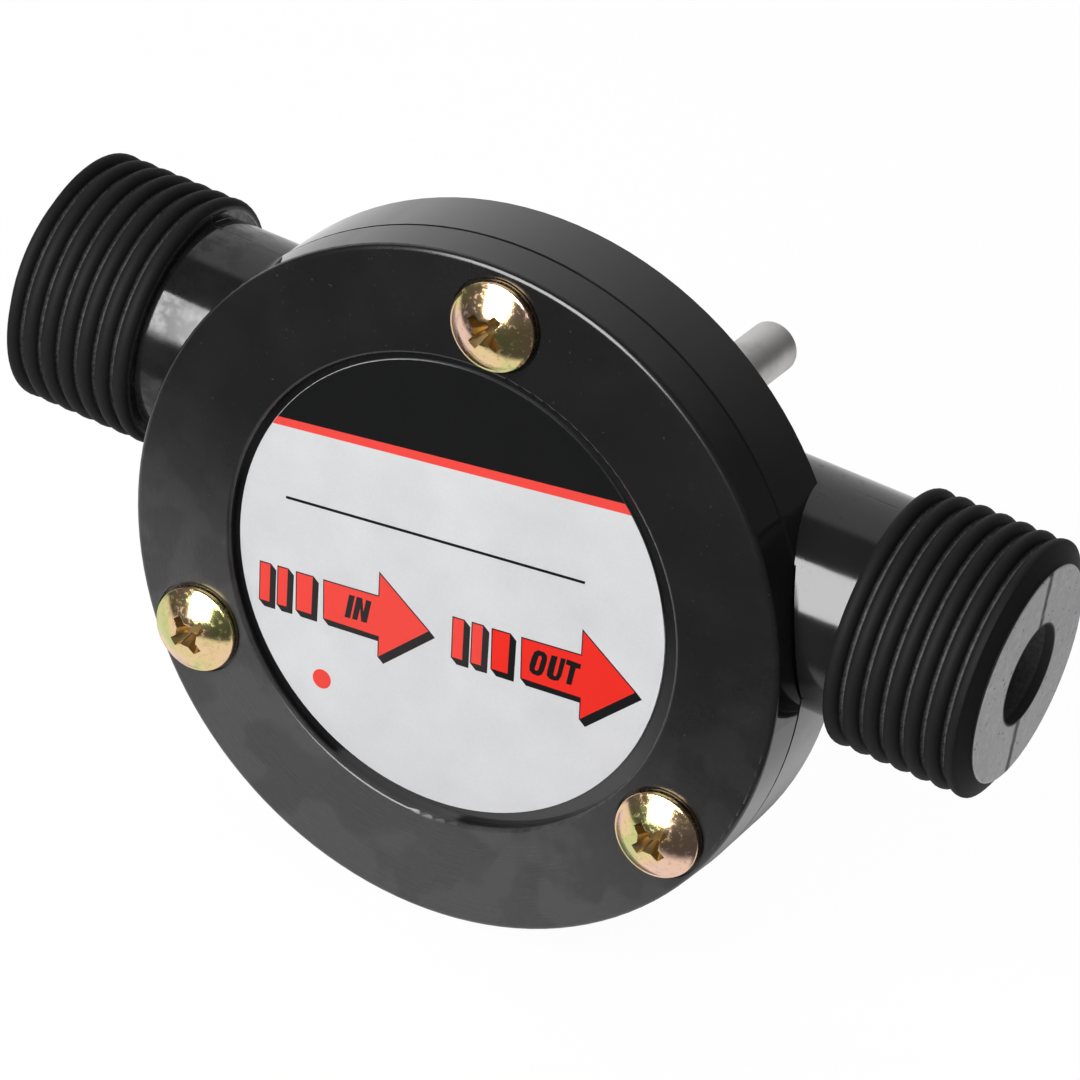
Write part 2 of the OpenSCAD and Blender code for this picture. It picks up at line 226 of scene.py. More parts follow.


# %% [markdown]
# ## Black casing plastic
#
# The body is one shiny black moulding. Shine is low roughness, and what makes it look real is that the
# shine is not even: it is a little duller in patches, and its reflections wave slightly. The threads are
# matt, so they are a second surface, mixed in by place. The end faces are scuffed and rough, and their pale
# grey is partly real scuffing and partly painted reflection of the sheet. A pale colour in the thread valleys
# is a painted highlight. A broken line runs along the necks and over the end faces, where the halves of the
# mould met.

# %% Casing finish
# Places and radii are in mm in the frame of the CAD model, and colours are linear.
PORT_Y, PORT_Z = -22.6, 8.9
BORE_R, THREAD_ROOT_R = 5.25, 12.4
NECK_X, THREAD_X, END_X = 33, 40.2, 56
DEEP_BLACK, BLACK = (0.0125, 0.0125, 0.013), (0.017, 0.017, 0.0175)
# The pale grey of the end faces is partly real scuffing and partly painted reflection of the sheet.
SCUFF_AND_SHEEN_GREY, PIT, SEAM = (0.76, 0.76, 0.765), (0.05, 0.05, 0.05), (0.002, 0.002, 0.002)
MATT_LOW, MATT_HIGH = (0.008, 0.008, 0.0083), (0.021, 0.021, 0.0213)
# The pale valley colour is a painted highlight, where the flanks of the thread catch the light.
BORE_DUST, VALLEY_HIGHLIGHT = (0.09, 0.09, 0.09), (0.26, 0.26, 0.262)
PLASTIC_IOR = 1.5


def casing_finish():
    made, pen, place = start_finish("casing_plastic")
    x, y, z = xyz(place)
    side = x.math("ABSOLUTE")
    from_axis = from_middle(y - PORT_Y, z - PORT_Z)
    patches = noise(place, 0.12, 3).fade(0.35, 0.7)
    specks = noise(place, 2.6, 3, 0.7)
    grain = noise(place, 5.0, 3, 0.7)
    scuffs = noise(place, 1.1, 6, 0.75).fade(0.42, 0.75)
    pits = noise(place, 1.7, 2).fade(0.66, 0.72)
    end_face = side.fade(END_X - 0.2, END_X - 0.05)
    bore = 1 - from_axis.fade(BORE_R + 0.1, BORE_R + 0.3)
    seam = y.near(PORT_Y, 0.2) * side.fade(NECK_X, NECK_X + 3) * noise(place, 0.8, 3).fade(0.36, 0.5)
    crack = (y + noise(place, 0.7, 4) * 0.8 - 0.4).near(PORT_Y, 0.7) * end_face
    threads = side.fade(THREAD_X, THREAD_X + 0.2) * (1 - end_face)
    in_threads = threads * (1 - side.fade(END_X - 1.1, END_X - 0.9))
    valley = (1 - from_axis.fade(THREAD_ROOT_R + 0.1, THREAD_ROOT_R + 0.5)) * in_threads
    left_film = noise(place, 0.5, 5, 0.65).fade(0.4, 0.62) * (x * -1).fade(NECK_X - 3, NECK_X + 7)
    right_root = x.fade(NECK_X - 5, NECK_X - 3) * (1 - x.fade(NECK_X + 1, NECK_X + 4))
    right_film = noise(place, 1.1, 5, 0.75).fade(0.55, 0.7) * right_root
    film = left_film * 0.5 + right_film * 0.4
    shiny = colours(patches, DEEP_BLACK, BLACK)
    # End faces: real scuffing, and a painted reflection of the sheet below in the same pale grey.
    shiny = shiny.blend(end_face * (0.75 + scuffs * 0.25), SCUFF_AND_SHEEN_GREY)
    shiny = shiny.blend(end_face * pits * 0.85, PIT)
    shiny = shiny.blend(seam.math("MAXIMUM", crack) * 0.97, SEAM)
    matt = colours(grain, MATT_LOW, MATT_HIGH).blend(bore, BORE_DUST)
    # Painted highlight: the thread valleys get a pale colour in place of the light on the ridge flanks.
    matt = matt.blend(valley * (specks * 1.6 - 0.35), VALLEY_HIGHLIGHT)
    waves = noise(place, 0.35, 2) * 0.6 + specks * 0.12 - seam * 1.2 + end_face * (scuffs + grain)
    dull = 0.06 + patches * 0.05 + specks * 0.04 + seam * 0.3 + end_face * 0.32
    return close_finish(
        made, pen,
        {"Base Color": shiny, "Roughness": dull, "IOR": PLASTIC_IOR, "Normal": bump(waves, 0.25, 0.05)},
        threads.math("MAXIMUM", bore).math("MAXIMUM", film),
        {"Base Color": matt, "Roughness": 0.55 + grain * 0.16, "Specular IOR Level": 0.09,
         "Normal": bump(grain, 0.5, 0.03)})


# %% [markdown]
# ## Satin cover plastic
#
# The front cover is of the same black, but its face is satin, with hair-fine marks that run round the
# shaft. It is greyer towards the lower left, and less so towards the lower right: haze and smears are partly
# real wear, and part of the grey is painted reflection of the sheet below. The floor of the label's seat
# gets the same grey on its lower right only, as painted light. The rim of the cover is as shiny as the body,
# so the satin fades out beyond the face.

# %% Cover finish
FRONT_Y, SEAT_R = -36.96, 25.6
SATIN_LOW, SATIN_HIGH = (0.0105, 0.0105, 0.011), (0.017, 0.0168, 0.0172)
# The haze grey is partly real wear and partly painted reflection; on the label's seat it is painted light.
HAZE_AND_SHEEN, DUST = (0.062, 0.060, 0.062), (0.07, 0.07, 0.07)


def cover_finish():
    made, pen, place = start_finish("cover_plastic")
    x, y, z = xyz(place)
    radius = from_middle(x, z)
    face = 1 - y.fade(FRONT_Y + 0.36, FRONT_Y + 0.76)
    marks = noise(wound(radius * 4.5, z.math("ARCTAN2", x) * 6.0), 1.0, 4, 0.65)
    patches = noise(place, 0.11, 4, 0.6).fade(0.35, 0.7)
    smears = noise(place, 0.16, 3, 0.4).fade(0.46, 0.56)
    dust = noise(place, 3.1, 2, 0.4).fade(0.74, 0.79)
    mottle = noise(place, 1.3, 5, 0.7)
    shade = colours(mottle * 0.5 + patches * 0.5, SATIN_LOW, SATIN_HIGH)
    # Greyer towards the lower left: partly real wear and partly painted reflection of the sheet below.
    worn_and_lit = (z * -1 - x * 0.4).fade(0, 30)
    # Painted light: the floor of the label's seat is greyed on its lower right only, where it shows lit.
    painted_seat_light = (1 - radius.fade(SEAT_R + 0.05, SEAT_R + 0.3)) * x.fade(0, 16) * (1 - z.fade(-6, 10))
    haze_and_sheen = worn_and_lit * (0.2 + marks * 0.45 + mottle * 0.3 + smears * 0.4)
    # Greyer towards the lower right too: partly smears and partly painted reflection.
    haze_and_sheen = haze_and_sheen + (x - z).fade(20, 40) * (mottle * 0.5 + smears * 0.3) * 0.5
    shade = shade.blend((haze_and_sheen * face).math("MAXIMUM", painted_seat_light * 0.7), HAZE_AND_SHEEN).blend(dust * face, DUST)
    dull = 0.08 + face * (0.12 + marks * worn_and_lit * 0.12 + patches * 0.04)
    height = face * (marks * (0.1 + worn_and_lit * 0.6) + mottle * 0.4) + dust * 0.4
    return close_finish(made, pen, {"Base Color": shade, "Roughness": dull, "IOR": PLASTIC_IOR,
                                    "Normal": bump(height, 0.35, 0.03)})


# %% [markdown]
# ## Metals
#
# The screws are plated with yellow zinc. Its thin passivation film shifts from gold to pink and green, so
# the colour comes from a slow noise through a ramp. Turned steel and brass have fine lines round their
# axis, and they are one function with other numbers.

# %% Plated screws
GREENISH, GOLD = (0.66, 0.66, 0.27), (0.86, 0.66, 0.33)
WARM_GOLD, PINKISH = (0.90, 0.64, 0.37), (0.90, 0.60, 0.46)
ZINC_STOPS = [(0.42, GREENISH), (0.5, GOLD), (0.58, WARM_GOLD), (0.68, PINKISH)]
ZINC_SPOT = (0.40, 0.30, 0.14)


def zinc_finish():
    made, pen, place = start_finish("zinc_screw")
    film = noise(place, 0.2, 2) + noise(place, 1.6, 3) * 0.12
    shade = pen.node("ShaderNodeValToRGB", {"stops": ZINC_STOPS}, {0: film})
    grain = noise(place, 3.4, 5, 0.7)
    spots = noise(place, 1.5, 4, 0.7).fade(0.48, 0.7)
    shade = shade.blend(spots * 0.25, ZINC_SPOT)
    return close_finish(made, pen, {"Base Color": shade, "Metallic": 1.0, "Roughness": 0.14 + spots * 0.24,
                                    "Normal": bump(grain, 0.3, 0.016)})


# %% Turned and rolled metals
def metal_finish(name, light, dark, dull, across, along):
    """dull is the least roughness; across and along say how close the lines lie, and how short they are."""
    made, pen, place = start_finish(name)
    x, y, z = xyz(place)
    angle = z.math("ARCTAN2", x)
    marks = noise(wound(from_middle(x, z) * across, y * across, angle * along), 1.0, 4, 0.6)
    stains = noise(place, 0.25, 4).fade(0.4, 0.75)
    shade = colours(marks * 0.4 + stains * 0.6, light, dark)
    return close_finish(made, pen, {"Base Color": shade, "Metallic": 1.0,
                                    "Roughness": dull + marks * 0.1 + stains * 0.08,
                                    "Normal": bump(marks, 0.5, 0.02)})


# %% [markdown]
# ## Rubber, cam plastic and paper
#
# Inside are rubber parts and a pale cam, which show when the pump is opened. They are matt, with a fine
# grain. The label is a coated paper: nearly white, very slightly mottled, and with its edge darkened on the
# upper right.

# %% Matt finishes
def matt_finish(name, light, dark, dull, grain_scale, grain_height, broad=0.15, gloss=0.5):
    """grain_scale and broad say how fine the grain and the clouds are, and grain_height is in mm."""
    made, pen, place = start_finish(name)
    grain = noise(place, grain_scale, 4, 0.6)
    cloud = noise(place, broad, 3)
    shade = colours(cloud * 0.6 + grain * 0.4, light, dark)
    return close_finish(made, pen, {"Base Color": shade, "Roughness": dull + grain * 0.12,
                                    "Specular IOR Level": gloss, "Normal": bump(grain, 0.4, grain_height)})


# %% Label paper
LABEL_X, LABEL_R = -0.5, 24.36
PAPER_LIGHT, PAPER_DARK = (0.86, 0.865, 0.885), (0.60, 0.605, 0.62)
EDGE_DARKENED = (0.02, 0.02, 0.02)


def label_finish():
    """Coated paper, whose edge is darkened on the upper right."""
    made, pen, place = start_finish("label_print")
    x, _, z = xyz(place)
    grain = noise(place, 5.5, 4, 0.6)
    cloud = noise(place, 0.15, 3)
    edge = from_middle(x - LABEL_X, z).fade(LABEL_R - 0.06, LABEL_R)
    shade = colours(cloud * 0.6 + grain * 0.4, PAPER_LIGHT, PAPER_DARK)
    # The edge is made darker on the upper right only.
    shade = shade.blend(edge * x.fade(-14, 0) * z.fade(4, 8) * 0.95, EDGE_DARKENED)
    return close_finish(made, pen, {"Base Color": shade, "Roughness": 0.42 + grain * 0.12,
                                    "Normal": bump(grain, 0.4, 0.012)})


# %% Give every CAD node its finish
finishes = {
    "casing_plastic": casing_finish(),
    "cover_plastic": cover_finish(),
    "zinc_screw": zinc_finish(),
    # The recess metal is darker and browner than the head: painted shade in the cross recess.
    "zinc_recess": metal_finish("zinc_recess", (0.40, 0.28, 0.12), (0.24, 0.16, 0.07), 0.24, 3, 2.0),
    "shaft_steel": metal_finish("shaft_steel", (0.60, 0.59, 0.58), (0.42, 0.41, 0.40), 0.38, 7, 0.6),
    "stainless": metal_finish("stainless", (0.64, 0.65, 0.67), (0.50, 0.51, 0.53), 0.24, 5, 1.5),
    "spring_steel": metal_finish("spring_steel", (0.24, 0.24, 0.25), (0.13, 0.13, 0.14), 0.3, 4, 2.0),
    "bronze": metal_finish("bronze", (0.66, 0.42, 0.20), (0.42, 0.26, 0.13), 0.38, 6, 8.0),
    "hub_brass": metal_finish("hub_brass", (0.80, 0.60, 0.26), (0.66, 0.47, 0.19), 0.22, 6, 1.0),
    "seal_rubber": matt_finish("seal_rubber", (0.012, 0.012, 0.012), (0.022, 0.022, 0.022), 0.5, 3.0, 0.02),
    "impeller_rubber": matt_finish("impeller_rubber", (0.016, 0.016, 0.016), (0.030, 0.029, 0.028),
                                   0.55, 2.2, 0.03),
    "cam_plastic": matt_finish("cam_plastic", (0.70, 0.70, 0.66), (0.60, 0.59, 0.55), 0.35, 2.0, 0.015),
    "label_print": label_finish(),
}
for part in frame["record"]["subparts"]:
    for slot in nodes[part["node"]].material_slots:
        slot.material = finishes[part["material_slot"]]

# %% [markdown]
# ## Cross recess screws
#
# A screw is a profile spun round its axis: dome, rounded edge, side, thread rings and tip. The cross recess
# is cut by a star that narrows as it goes down, so its walls flare as those of a real one do, and a small
# bevel breaks the edges of the cut. The sizes come from the box of the CAD screw that it stands for.

# %% Outline of a screw from its top to its tip
HEAD_H, HEAD_SIDE, HEAD_EDGE_R = 2.95, 1.1, 0.22
CORE_R, RING_R, PITCH = 1.6, 2.08, 1.4
DOME_STEPS = 24
EDGE_ANGLES = (35, 15, 0)
TIP_GAP = 0.02


def screw_outline(head_r, length):
    """Points of radius and depth below the top of the head, in mm."""
    rise = HEAD_H - HEAD_SIDE
    dome_r = (head_r ** 2 + rise ** 2) / (2 * rise)
    slope = math.asin((head_r - HEAD_EDGE_R) / dome_r)
    slopes = [slope * i / DOME_STEPS for i in range(DOME_STEPS + 1)]
    points = [(dome_r * math.sin(a), dome_r * (1 - math.cos(a))) for a in slopes]
    edge_at = points[-1][0] - HEAD_EDGE_R * math.sin(slope)
    edge_depth = points[-1][1] + HEAD_EDGE_R * math.cos(slope)
    for a in map(math.radians, EDGE_ANGLES):
        points.append((edge_at + (head_r - edge_at) * math.cos(a), edge_depth - HEAD_EDGE_R * math.sin(a)))
    points += [(head_r, HEAD_H - HEAD_EDGE_R), (head_r - HEAD_EDGE_R, HEAD_H), (CORE_R, HEAD_H)]
    for i in range(1, int((length - HEAD_H - 2 * CORE_R) / PITCH) + 1):
        ring = HEAD_H + i * PITCH
        points += [(CORE_R, ring - PITCH / 3), (RING_R, ring), (CORE_R, ring + PITCH / 3)]
    tip = length - TIP_GAP
    return points + [(CORE_R, length - 2 * CORE_R), (CORE_R / 4, tip), (0, tip)]


def ring_of_points(name, corners):
    bpy.ops.mesh.primitive_circle_add(vertices=len(corners), radius=MM, fill_type="NOTHING")
    made = bpy.context.object
    made.name = name
    for corner, place in zip(made.data.vertices, corners):
        corner.co = place
    bpy.ops.object.mode_set(mode="EDIT")
    bpy.ops.mesh.select_all(action="SELECT")
    return made


# %% Spin the screw and cut its recess
ARM_R, ARM_W, ARM_CORNER = 2.55, 1.2, 0.72
RECESS_DEPTH, RECESS_START, FOOT_SHARE = 2.3, 0.3, 0.42
SPIN_STEPS = 96
MERGE = 0.002
RECESS_BEVEL, BEVEL_ANGLE, SMOOTH_ANGLE = 0.05, 38, 35


def star(name, middle, top, turn):
    """The cutter: a four-armed star with slanted inner corners, wide at the top and narrow at its foot."""
    half = ARM_W / 2
    quarter = [(ARM_R, -half), (ARM_R, half), (ARM_CORNER + half, half), (half, ARM_CORNER + half)]
    outline = []
    for i in range(4):
        a = math.radians(turn + 90 * i)
        outline += [(x * math.cos(a) - z * math.sin(a), x * math.sin(a) + z * math.cos(a))
                    for x, z in quarter]
    at = Vector((middle.x, top - RECESS_START * MM, middle.z))
    deep = Vector((0, RECESS_DEPTH * MM, 0))
    made = ring_of_points(name, [at + Vector((x, 0, z)) * MM for x, z in outline])
    bpy.ops.mesh.edge_face_add()
    bpy.ops.mesh.extrude_region_move(TRANSFORM_OT_translate={"value": deep})
    bpy.ops.transform.resize(value=(FOOT_SHARE,) * 3, center_override=at + deep)
    bpy.ops.mesh.select_all(action="SELECT")
    bpy.ops.mesh.normals_make_consistent(inside=False)
    bpy.ops.object.mode_set(mode="OBJECT")
    # The recess walls get the darker finish, a painted shade.
    made.data.materials.append(finishes["zinc_recess"])
    made.select_set(False)
    return made


def screw_piece(node, turn):
    """The screw that stands for a CAD node, with its recess turned by some degrees."""
    low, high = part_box(node)
    middle = (low + high) / 2
    outline = screw_outline((high.x - low.x) / 2 / MM, (high.y - low.y) / MM)
    corners = [Vector((middle.x + r * MM, low.y + d * MM, middle.z)) for r, d in outline]
    piece = ring_of_points(node + "_dressed", corners)
    bpy.ops.mesh.spin(steps=SPIN_STEPS, angle=math.tau, center=middle, axis=(0, 1, 0))
    bpy.ops.mesh.select_all(action="SELECT")
    bpy.ops.mesh.remove_doubles(threshold=MERGE * MM)
    bpy.ops.mesh.normals_make_consistent(inside=False)
    bpy.ops.object.mode_set(mode="OBJECT")
    piece.data.materials.append(finishes["zinc_screw"])
    cutter = star(node + "_star", middle, low.y, turn)
    bpy.context.view_layer.objects.active = piece
    piece.select_set(True)
    cut = piece.modifiers.new("recess", "BOOLEAN")
    cut.operation = "DIFFERENCE"
    cut.solver = "EXACT"
    cut.object = cutter
    cut.material_mode = "TRANSFER"
    bpy.ops.object.modifier_apply(modifier="recess")
    edges = piece.modifiers.new("edges", "BEVEL")
    edges.width = RECESS_BEVEL * MM
    edges.segments = 2
    edges.limit_method = "ANGLE"
    edges.angle_limit = math.radians(BEVEL_ANGLE)
    bpy.ops.object.modifier_apply(modifier="edges")
    bpy.ops.object.shade_smooth_by_angle(angle=math.radians(SMOOTH_ANGLE))
    piece.select_set(False)
    cutter.select_set(True)
    bpy.ops.object.delete()
    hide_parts(node)
    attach(piece, "casing")
    print(piece.name, "has", len(piece.data.polygons), "faces")


screw_piece("screw_top", 57)
screw_piece("screw_left", 44)
screw_piece("screw_right", 48)

# %% [markdown]
# ## The print on the label
#
# The label is laid out on a slight slant: a black cap over a red stripe, a thin rule, and two block arrows
# that say where the liquid goes in and out. Print has crisp edges, so each colour is a piece of its own, a
# hair thicker than nothing, on the paper. A disc primitive gets as many corners as the outline, each corner
# is put in its place, and a Solidify modifier gives the ink its thickness.

# %% Ink colours
def ink_finish(name, light, dark):
    return matt_finish(name, light, dark, dull=0.45, grain_scale=2.6, grain_height=0.008, broad=0.3,
                       gloss=0.1)


ink_black = ink_finish("ink_black", (0.0030, 0.0034, 0.0040), (0.0060, 0.0064, 0.0070))
ink_soft_black = ink_finish("ink_soft_black", (0.022, 0.019, 0.019), (0.030, 0.027, 0.027))
ink_red = ink_finish("ink_red", (0.95, 0.028, 0.016), (0.90, 0.024, 0.014))
ink_coral = ink_finish("ink_coral", (0.97, 0.076, 0.060), (0.92, 0.068, 0.052))

# %% A printed shape from its outline
PAPER_Y = -35.95
INK = 0.012


def printed(name, outline, layer, finish):
    """outline in mm on the label, x across and z up, anticlockwise; a higher layer lies on a lower one."""
    bpy.ops.mesh.primitive_circle_add(vertices=len(outline), radius=MM, fill_type="NGON")
    piece = bpy.context.object
    piece.name = name
    for corner, (x, z) in zip(piece.data.vertices, outline):
        corner.co = Vector((x, PAPER_Y - layer * INK, z)) * MM
    piece.data.update()
    if piece.data.polygons[0].normal.y > 0:
        bpy.ops.object.mode_set(mode="EDIT")
        bpy.ops.mesh.select_all(action="SELECT")
        bpy.ops.mesh.flip_normals()
        bpy.ops.object.mode_set(mode="OBJECT")
    body = piece.modifiers.new("ink", "SOLIDIFY")
    body.thickness = layer * INK * MM
    bpy.ops.object.modifier_apply(modifier="ink")
    piece.data.materials.append(finish)
    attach(piece, "casing")
    piece.select_set(False)


# %% [markdown]
# The cap and the stripe end on the label's round edge, so their outlines follow the circle there. One
# function walks along the arc between two points of the edge.

# %% Cap, stripe, rule and dot
def edge_arc(start, end, steps):
    """Points on the label's edge from one point near it to another, anticlockwise."""
    first = math.atan2(start[1], start[0] - LABEL_X)
    last = math.atan2(end[1], end[0] - LABEL_X) % math.tau
    if last < first:
        last += math.tau
    angles = [first + (last - first) * i / steps for i in range(steps + 1)]
    return [(LABEL_X + LABEL_R * math.cos(a), LABEL_R * math.sin(a)) for a in angles]


STRIPE_TOP = ((-22.51, 11.05), (16.67, 17.25))
STRIPE_FOOT = ((-22.83, 9.99), (17.52, 16.26))
RULE = ((-20.02, 2.27), (14.02, 6.94), (14.02, 7.25), (-20.02, 2.58))
DOT_X, DOT_Z, DOT_R = -12.88, -16.18, 1.08
CAP_STEPS, STRIPE_STEPS, DOT_STEPS = 40, 3, 48

printed("label_cap", edge_arc(STRIPE_TOP[1], STRIPE_TOP[0], CAP_STEPS), 1, ink_black)
stripe_left = edge_arc(STRIPE_TOP[0], STRIPE_FOOT[0], STRIPE_STEPS)
stripe_right = edge_arc(STRIPE_FOOT[1], STRIPE_TOP[1], STRIPE_STEPS)
printed("label_stripe", stripe_left + stripe_right, 1, ink_coral)
printed("label_rule", RULE, 1, ink_black)
dot_angles = [math.tau * i / DOT_STEPS for i in range(DOT_STEPS)]
dot = [(DOT_X + DOT_R * math.cos(a), DOT_Z + DOT_R * math.sin(a)) for a in dot_angles]
printed("label_dot", dot, 1, ink_coral)
print("cap, stripe, rule and dot printed")

# %% [markdown]
# ## Block arrows
#
# An arrow and its three trailing bars look like thick blocks: a red face over a dark side that falls away
# to the lower right, with a thin dark line round it. The face is drawn once, from the tail's upper corner.
# The side is the face swept along the fall, and then set out a little for the line.

# %% Outlines of the arrow
ARROW = [(0, 0), (0.62, -4.21), (7.07, -3.53), (7.37, -5.8), (12.43, -0.55), (6.11, 3.43), (6.42, 0.87)]
BARS = [[(-7.48, -0.98), (-6.95, -5.2), (-5.83, -5.06), (-6.33, -0.84)],
        [(-5.38, -0.68), (-4.86, -4.92), (-3.80, -4.76), (-4.26, -0.53)],
        [(-3.20, -0.43), (-2.62, -4.6), (-0.88, -4.40), (-1.33, -0.17)]]
FALL = (0.64, -0.46)
LINE = 0.13


def outset(outline, width):
    """The outline with every edge moved outwards by width and the corners left sharp."""
    moved = []
    for i, point in enumerate(outline):
        before, after = Vector(outline[i - 1]), Vector(outline[(i + 1) % len(outline)])
        here = Vector(point)
        a, b = (here - before).normalized(), (after - here).normalized()
        out_a, out_b = Vector((a.y, -a.x)), Vector((b.y, -b.x))
        moved.append(tuple(here + (out_a + out_b) * width / (1 + out_a.dot(out_b))))
    return moved


def swept(outline, keep, fell):
    """The outline's corners whose numbers are in keep, moved along the fall where fell has a 1."""
    return [(outline[i][0] + j * FALL[0], outline[i][1] + j * FALL[1]) for i, j in zip(keep, fell)]


def placed(outline, corner, size):
    return [(corner[0] + size * x, corner[1] + size * z) for x, z in outline]


# %% Print an arrow
INNER = (7.13, -3.99)
IN_AT, IN_SIZE = (-14.31, -5.0), 1.0
OUT_AT, OUT_SIZE = (8.43, -1.81), 1.045


def arrow(name, corner, size, faces, sides):
    """faces and sides are the inks of the arrow, then of its bars from the near one to the far one."""
    side = swept(ARROW, [0, 1, 1], [0, 0, 1]) + [INNER] + swept(ARROW, [3, 3, 4, 4, 5, 6], [0, 1, 1, 0, 0, 0])
    printed(name + "_side", placed(outset(side, LINE), corner, size), 1, sides[0])
    printed(name + "_face", placed(ARROW, corner, size), 2, faces[0])
    for i, bar in enumerate(reversed(BARS)):
        block = swept(bar, [0, 1, 1, 2, 3, 3], [0, 0, 1, 1, 1, 0])
        printed(f"{name}_bar_{i + 1}_side", placed(outset(block, LINE), corner, size), 1, sides[i + 1])
        printed(f"{name}_bar_{i + 1}_face", placed(bar, corner, size), 2, faces[i + 1])
    print(name, "printed with", len(BARS), "bars")


arrow("arrow_in", IN_AT, IN_SIZE, [ink_coral] * 4, [ink_soft_black] * 4)
arrow("arrow_out", OUT_AT, OUT_SIZE, [ink_red, ink_red, ink_coral, ink_coral],
      [ink_black, ink_black, ink_soft_black, ink_soft_black])

# %% [markdown]
# The words stand on the faces, in a bold slanted letter. A round letter such as the O has a hole, so its
# inside is printed again in the colour of the face, as a layer on top.

# %% Words on the arrows
WORD_IN = {"i": [(3.04, -0.33), (2.9, -3.03), (3.55, -2.93), (3.7, -0.21)],
           "n": [(3.92, -0.19), (3.78, -2.89), (4.38, -2.79), (4.5, -1.33), (4.84, -2.73), (5.48, -2.64),
                 (5.64, -0.04), (5.02, -0.07), (4.92, -1.57), (4.57, -0.1)]}
WORD_OUT = {"o": [(1.39, -1.57), (1.28, -2.6), (1.39, -3.16), (1.79, -3.38), (2.38, -3.37), (2.78, -3.04),
                  (2.95, -2.48), (3.07, -1.28), (2.98, -0.72), (2.6, -0.47), (1.94, -0.54), (1.57, -0.87)],
            "u": [(3.45, -0.43), (3.29, -2.38), (3.33, -2.9), (3.7, -3.12), (4.22, -3.09), (4.66, -2.9),
                  (4.89, -2.31), (5.06, -0.22), (4.51, -0.28), (4.41, -2.16), (4.31, -2.54), (4.1, -2.6),
                  (4.0, -2.38), (4.14, -0.32)],
            "t": [(5.13, -0.76), (5.66, -0.72), (5.54, -2.85), (6.13, -2.79), (6.28, -0.69), (6.75, -0.62),
                  (6.79, -0.06), (5.17, -0.15)]}
OUT_WORD_SIZE = 1.0
O_HOLE = [(2.1, -1.16), (1.91, -2.72), (2.01, -2.87), (2.22, -2.81), (2.33, -2.57), (2.47, -1.16),
          (2.33, -1.01)]
for letter, outline in WORD_IN.items():
    printed("word_in_" + letter, placed(outline, IN_AT, IN_SIZE), 3, ink_soft_black)
for letter, outline in WORD_OUT.items():
    printed("word_out_" + letter, placed(outline, OUT_AT, OUT_WORD_SIZE), 3, ink_black)
printed("word_out_o_inside", placed(O_HOLE, OUT_AT, OUT_WORD_SIZE), 4, ink_red)
print("words printed")

# %% [markdown]
# ## The studio
#
# A glossy black part shows mostly what stands round it, so the studio is built from its reflections: one
# large softbox in front and above, which makes the crisp white bands on the necks and the bright squares on
# the screws, a white room behind, and dark cloth in front. The softbox is one lamp that lights everything
# and a second one, for reflections only, that makes its picture in the black plastic brighter.

# %% Softbox
SOFTBOX_PLACE = Vector((-167.7, -644.9, 289.5)) * MM
SOFTBOX_RIGHT = Vector((0.993, -0.021, 0.113)).normalized()
SOFTBOX_BACK = Vector((-0.09, -0.756, 0.649))
SOFTBOX_SIZE = (0.50, 0.609)
SOFTBOX_LIGHT, SOFTBOX_GLARE = 4.2, 9.0
GLARE_BACK = 0.01


def softbox(name, strength, back_off, seen_by_surfaces):
    lamp = bpy.data.lights.new(name, "AREA")
    lamp.shape = "RECTANGLE"
    lamp.size, lamp.size_y = SOFTBOX_SIZE
    lamp.energy = strength * math.pi * lamp.size * lamp.size_y
    placed_lamp = bpy.data.objects.new(name, lamp)
    bpy.context.scene.collection.objects.link(placed_lamp)
    back = (SOFTBOX_BACK - SOFTBOX_BACK.dot(SOFTBOX_RIGHT) * SOFTBOX_RIGHT).normalized()
    turn = Matrix((SOFTBOX_RIGHT, back.cross(SOFTBOX_RIGHT), back)).transposed()
    placed_lamp.matrix_world = Matrix.Translation(SOFTBOX_PLACE + back * back_off) @ turn.to_4x4()
    placed_lamp.visible_camera = False
    placed_lamp.visible_diffuse = seen_by_surfaces
    print(name, "sends", round(lamp.energy, 1), "W")


softbox("softbox", SOFTBOX_LIGHT, 0, True)
softbox("softbox_glare", SOFTBOX_GLARE, GLARE_BACK, False)

# %% [markdown]
# The room is the world, as a function of the direction only: dark in front, and behind the pump a wall that
# is white on the left and falls into shade towards the right. The camera itself sees plain white.

# %% White room behind, dark cloth in front
CLOTH_LIGHT, WALL_LIGHT = 0.10, 0.9
WALL_START, WALL_FULL = 0.0, 0.14
WALL_MIDDLE, WALL_FALL = 0.5, 0.9

room = bpy.data.worlds.new("room")
bpy.context.scene.world = room
room.use_nodes = True
room.node_tree.nodes.clear()
pen = Shade(room.node_tree)
way = pen.node("ShaderNodeTexCoord", {}, {}, "Generated")
across, behind, _ = xyz(way)
seen = pen.node("ShaderNodeLightPath", {}, {}, "Is Camera Ray")
wall = (WALL_MIDDLE - across * WALL_FALL).math("MAXIMUM", 0.0).math("MINIMUM", 1.0)
level = CLOTH_LIGHT + behind.fade(WALL_START, WALL_FULL) * wall * WALL_LIGHT
glow = pen.node("ShaderNodeBackground", {}, {"Color": (1, 1, 1, 1), "Strength": level.math("MAXIMUM", seen)})
pen.node("ShaderNodeOutputWorld", {}, {"Surface": glow})
print("room ready")
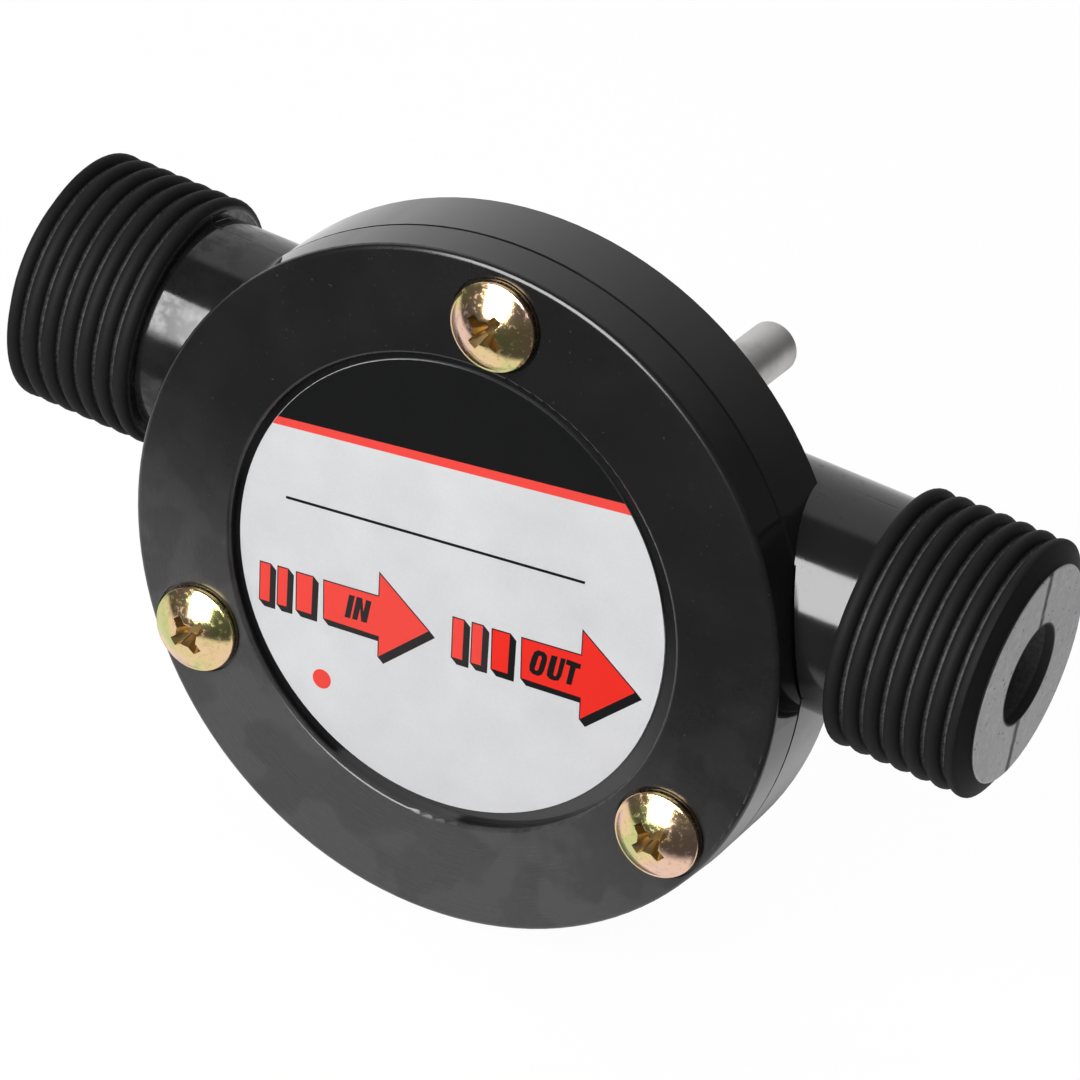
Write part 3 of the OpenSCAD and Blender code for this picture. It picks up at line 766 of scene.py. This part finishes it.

# %% [markdown]
# The pump stands on a white sheet. Seen by the camera the sheet is plain white with only a breath of
# shadow. In reflections it is bright under the pump and ends a little in front of it, which is what darkens
# the upper part of the satin face. Close under the pump a painted shadow darkens the sheet in reflections.

# %% White sheet under the pump
SHEET_SIZE, SHEET_Z = 8, cad_box[0][2] - 0.02 * MM
FRONT_SLANT, FRONT_LEAST = 0.65, -8
FRONT_DARK, FRONT_BRIGHT = -90, -74
SHADOW_SIDE, SHADOW_SIDE_END = 20, 44
SHADOW_FRONT, SHADOW_FRONT_END = -24, -36
SHADOW_BACK, SHADOW_BACK_END = 20, 50
SHADOW_SHARE = 0.8
SEEN_WHITE, SEEN_SHARE = 1.03, 0.94
DARK_SHEET, BRIGHT_SHEET = 0.08, 0.82
SHEET_WHITE = (0.9, 0.9, 0.9, 1)

bpy.ops.mesh.primitive_plane_add(size=SHEET_SIZE, location=(0, 0, SHEET_Z))
sheet = bpy.context.object
sheet.name = "sheet"
bpy.ops.object.transform_apply(location=True, rotation=False, scale=False)
paper, pen, place = start_finish("sheet")
across, depth, _ = xyz(place)
front_edge = (depth - (across * FRONT_SLANT).math("MAXIMUM", FRONT_LEAST)).fade(FRONT_DARK, FRONT_BRIGHT)
camera_ray = pen.node("ShaderNodeLightPath", {}, {}, "Is Camera Ray")
glossy_ray = pen.node("ShaderNodeLightPath", {}, {}, "Is Glossy Ray")
# A painted shadow: the sheet's brightness in reflections falls close under the pump.
beside = 1 - across.math("ABSOLUTE").fade(SHADOW_SIDE, SHADOW_SIDE_END)
before = depth.fade(SHADOW_FRONT_END, SHADOW_FRONT)
painted_shadow = beside * before * (1 - depth.fade(SHADOW_BACK, SHADOW_BACK_END))
reflected = (DARK_SHEET + front_edge * BRIGHT_SHEET) * (1 - painted_shadow * SHADOW_SHARE)
bright = camera_ray * SEEN_WHITE + glossy_ray * reflected
shine = pen.node("ShaderNodeEmission", {}, {"Color": (1, 1, 1, 1), "Strength": bright})
flat = pen.node("ShaderNodeBsdfDiffuse", {}, {"Color": SHEET_WHITE})
share = (camera_ray * SEEN_SHARE + glossy_ray).math("MINIMUM", 1.0)
both = pen.node("ShaderNodeMixShader", {}, {0: share, 1: flat, 2: shine})
pen.node("ShaderNodeOutputMaterial", {}, {"Surface": both})
sheet.data.materials.append(paper)
sheet.select_set(False)
print("sheet at", round(cad_box[0][2] / MM, 2), "mm")

# %% [markdown]
# ## Finish
#
# The colours are shown as they are written, so the view transform is Standard.

# %% Close the scene
bpy.context.scene.view_settings.view_transform = "Standard"
